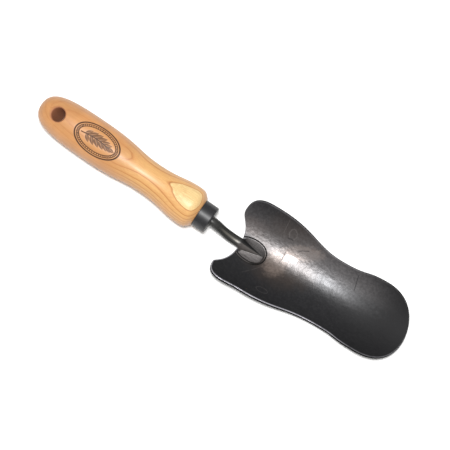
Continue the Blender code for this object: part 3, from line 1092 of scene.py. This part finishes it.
shankFinish = {
    "scale": (0.012, 0.012, 0.0112),
    "rubbedAndSheen": (0.050, 0.049, 0.044),
    "neckHighlight": (0.150, 0.140, 0.120),
    "groundLeftShaded": (0.050, 0.044, 0.043),
    "groundRightLit": (0.066, 0.061, 0.060),
    "grit": (0.028, 0.025, 0.025),
    "ribLitLeft": (0.12, 0.105, 0.10),
    "ribShadedRight": (0.006, 0.006, 0.007),
}


def makeForgedSteel():
    mat = Bench("forged steel", shankFinish)
    place = mat.localMillimetres(bladeOrigin, bladeShape["yaw"])
    x, y, z = mat.axes(place)
    y = mat.plus(y, -shankShape["palmY"])
    cloud = mat.noise(place, 0.28, 4.0, 0.6)
    hammer = mat.streaks(place, (0.18, 0.5, 0.5))
    scale = mat.noise(place, 1.7, 4.0, 0.62)
    black = shankFinish["scale"]
    mat.colour = mat.mix(cloud, tint(black, 0.8), tint(black, 1.6))
    rubbedAndSheen = mat.step(mat.streaks(place, (0.12, 1.3, 1.3), 3.0, 0.6), 0.42, 0.68)
    rubbedAndSheen = mat.times(rubbedAndSheen, 0.55)
    mat.lay("rubbedAndSheen", rubbedAndSheen)

    # painted highlight: a bright line along the neck where the light's streak falls
    line = mat.calc("ABSOLUTE", mat.plus(mat.scaleAdd(x, 0.042, y), 0.8))
    neckHighlight = mat.times(mat.fade(line, 0.25, 1.25), mat.step(x, -19.0, -11.0),
                           mat.fade(x, -2.0, 1.5), 0.75)
    mat.lay("neckHighlight", neckHighlight)

    # ground facets of the palm, outside the rib's foot and above the edge
    foot = mat.scaleAdd(x, -shankShape["ribHalf"] / shankShape["ribLength"], 4.9)
    wander = mat.scaleAdd(mat.noise(place, 0.5, 3.0), 0.7, -0.35)
    outside = mat.minus(mat.plus(mat.calc("ABSOLUTE", y), wander), foot)
    ground = mat.times(mat.step(outside, -0.15, 0.25), mat.step(x, 1.0, 2.4))
    grit = mat.streaks(place, (3.4, 0.10, 0.4), 3.0, 0.6, turn=52)
    # painted light and shade: the palm's left facet gets a darker copy of the ground colour and the
    # right facet a lighter one
    left = mat.fade(y, -0.4, 0.4)
    facet = mat.mix(left, shankFinish["groundRightLit"], shankFinish["groundLeftShaded"])
    facet = mat.mix(mat.step(grit, 0.36, 0.62), mat.mix(0.62, facet, shankFinish["grit"]), facet)
    mat.lay(facet, ground, 0.92)
    # painted light and shade: the rib's left side is lightened and its right side painted black, its
    # metallic sheen taken away
    ribLitLeft = mat.times(left, mat.flip(ground), mat.step(x, -3.0, 3.0))
    mat.lay("ribLitLeft", ribLitLeft, 0.55)
    ribShadedRight = mat.times(mat.step(y, 0.1, 0.9), mat.flip(ground), mat.step(x, -1.0, 2.0))
    mat.lay("ribShadedRight", ribShadedRight, 0.85)

    metal = mat.scaleAdd(ground, 0.45, mat.times(mat.most(rubbedAndSheen, neckHighlight), 0.5))
    metal = mat.times(metal, mat.flip(ribShadedRight))
    gloss = mat.scaleAdd(scale, 0.18, mat.scaleAdd(ground, 0.06, 0.30))
    relief = mat.bump(hammer, 0.0005, 0.35)
    relief = mat.bump(mat.mix(ground, scale, grit), 0.00007, 0.55, relief)
    return mat.dress(Metallic=metal, Roughness=gloss, Normal=relief, Specular_IOR_Level=0.5)


makeShank(makeForgedSteel())


# in metres
weldShape = {
    "radius": 0.00050,
    "spacing": 0.00035,
    "ripple": 0.00010,
    "rippleScale": 900.0,
    "seed": 7,
    "sides": 12,
    "merge": 1e-7,
}


def weldPath():
    # along the palm's edge, lying on the blade
    reach = weldShape["radius"] * 1000 + 2 * shankShape["gap"]
    run = palmRun[14:]
    tangent = np.gradient(run, axis=0)
    tangent /= np.linalg.norm(tangent, axis=1)[:, None]
    offset = run + np.stack([-tangent[:, 1], tangent[:, 0]], axis=1) * reach
    offset[-1] = (shankShape["palmLength"] + reach, 0.0)
    path = [tuple(p) for p in offset] + [(x, -y) for x, y in offset[-2::-1]]
    middle = shankShape["palmY"]
    lift = weldShape["radius"] * 1000 + shankShape["gap"] - 0.15
    return [toBlade((x, middle + y, dishAt(x, middle + y) + lift)) for x, y in path]


def weldTree(material):
    # a bead swept along the curve, its skin rippled by noise
    tree = bpy.data.node_groups.new("weld bead", "GeometryNodeTree")
    for name, kind, value in (
        ("Geometry", "Geometry", None),
        ("Bead radius", "Float", weldShape["radius"]),
        ("Spacing", "Float", weldShape["spacing"]),
        ("Ripple depth", "Float", weldShape["ripple"]),
        ("Ripple scale", "Float", weldShape["rippleScale"]),
        ("Seed", "Int", weldShape["seed"]),
    ):
        socket = tree.interface.new_socket(name, in_out="INPUT", socket_type="NodeSocket" + kind)
        if value is not None:
            socket.default_value = value
    tree.interface.new_socket("Geometry", in_out="OUTPUT", socket_type="NodeSocketGeometry")
    work = Nodes(tree)
    given = work.node("NodeGroupInput").outputs
    path = work.node("GeometryNodeResampleCurve", {"mode": "LENGTH"},
                     Curve=given["Geometry"], Length=given["Spacing"])
    circle = work.node("GeometryNodeCurvePrimitiveCircle", Resolution=weldShape["sides"],
                       Radius=given["Bead radius"])
    sweep = work.node("GeometryNodeCurveToMesh", Curve=path, Profile_Curve=circle, Fill_Caps=True)
    noise = work.node("ShaderNodeTexNoise", {"noise_dimensions": "4D"},
                      W=given["Seed"], Scale=given["Ripple scale"])
    amount = work.times(work.scaleAdd(noise, 2.0, -1.0), given["Ripple depth"])
    normal = work.node("GeometryNodeInputNormal")
    push = work.node("ShaderNodeVectorMath", {"operation": "SCALE"}, Vector=normal, Scale=amount)
    bead = work.node("GeometryNodeSetPosition", Geometry=sweep, Offset=push)
    bead = work.node("GeometryNodeSetShadeSmooth", Geometry=bead)
    bead = work.node("GeometryNodeRealizeInstances", Geometry=bead)
    bead = work.node("GeometryNodeSetMaterial", Geometry=bead, Material=material)
    work.node("NodeGroupOutput", Geometry=bead)
    return tree


def makeWeld(material):
    path = weldPath()
    curve = bpy.data.curves.new("weld path", "CURVE")
    curve.dimensions = "3D"
    spline = curve.splines.new("POLY")
    spline.points.add(len(path) - 1)
    for point, place in zip(spline.points, path):
        point.co = (*place, 1.0)
    guide = addObject("weld path", curve)
    bead = guide.modifiers.new("weld bead", "NODES")
    bead.node_group = weldTree(material)
    for item in bead.node_group.interface.items_tree:
        if item.in_out == "INPUT" and item.name == "Bead radius":
            bead[item.identifier] = weldShape["radius"]
    mesh = bakeMesh(guide)
    bpy.data.objects.remove(guide)
    mesh.name = "palm_weld_bead"
    mendMesh(mesh, weldShape["merge"])
    weld = addObject("palm_weld_bead", mesh)
    dressPiece(weld, "palm_weld", material)
    print("weld:", len(mesh.polygons), "faces")


weldFinish = {
    "dark": (0.0035, 0.0032, 0.0032),
    "light": (0.0085, 0.0078, 0.0075),
    "glint": (0.10, 0.09, 0.087),
}


def makeWeldSteel():
    mat = Bench("dressed weld", weldFinish)
    place = mat.localMillimetres(bladeOrigin, bladeShape["yaw"])
    x, y, z = mat.axes(place)
    cloud = mat.noise(place, 0.9, 4.0, 0.6)
    fine = mat.noise(place, 3.0, 3.0, 0.6)
    mat.colour = mat.mix(cloud, weldFinish["dark"], weldFinish["light"])
    left = mat.times(mat.fade(y, -4.5, -1.5), mat.fade(x, 11.0, 17.0))  # painted highlight along the bead's left side
    # painted highlight: the bead's left side is lighter and metallic
    mat.lay("glint", left, 0.60)
    gloss = mat.scaleAdd(fine, 0.2, 0.50)
    return mat.dress(Metallic=mat.times(left, 0.45), Roughness=gloss,
                       Normal=mat.bump(fine, 0.00006, 0.5), Specular_IOR_Level=0.15)


makeWeld(makeWeldSteel())
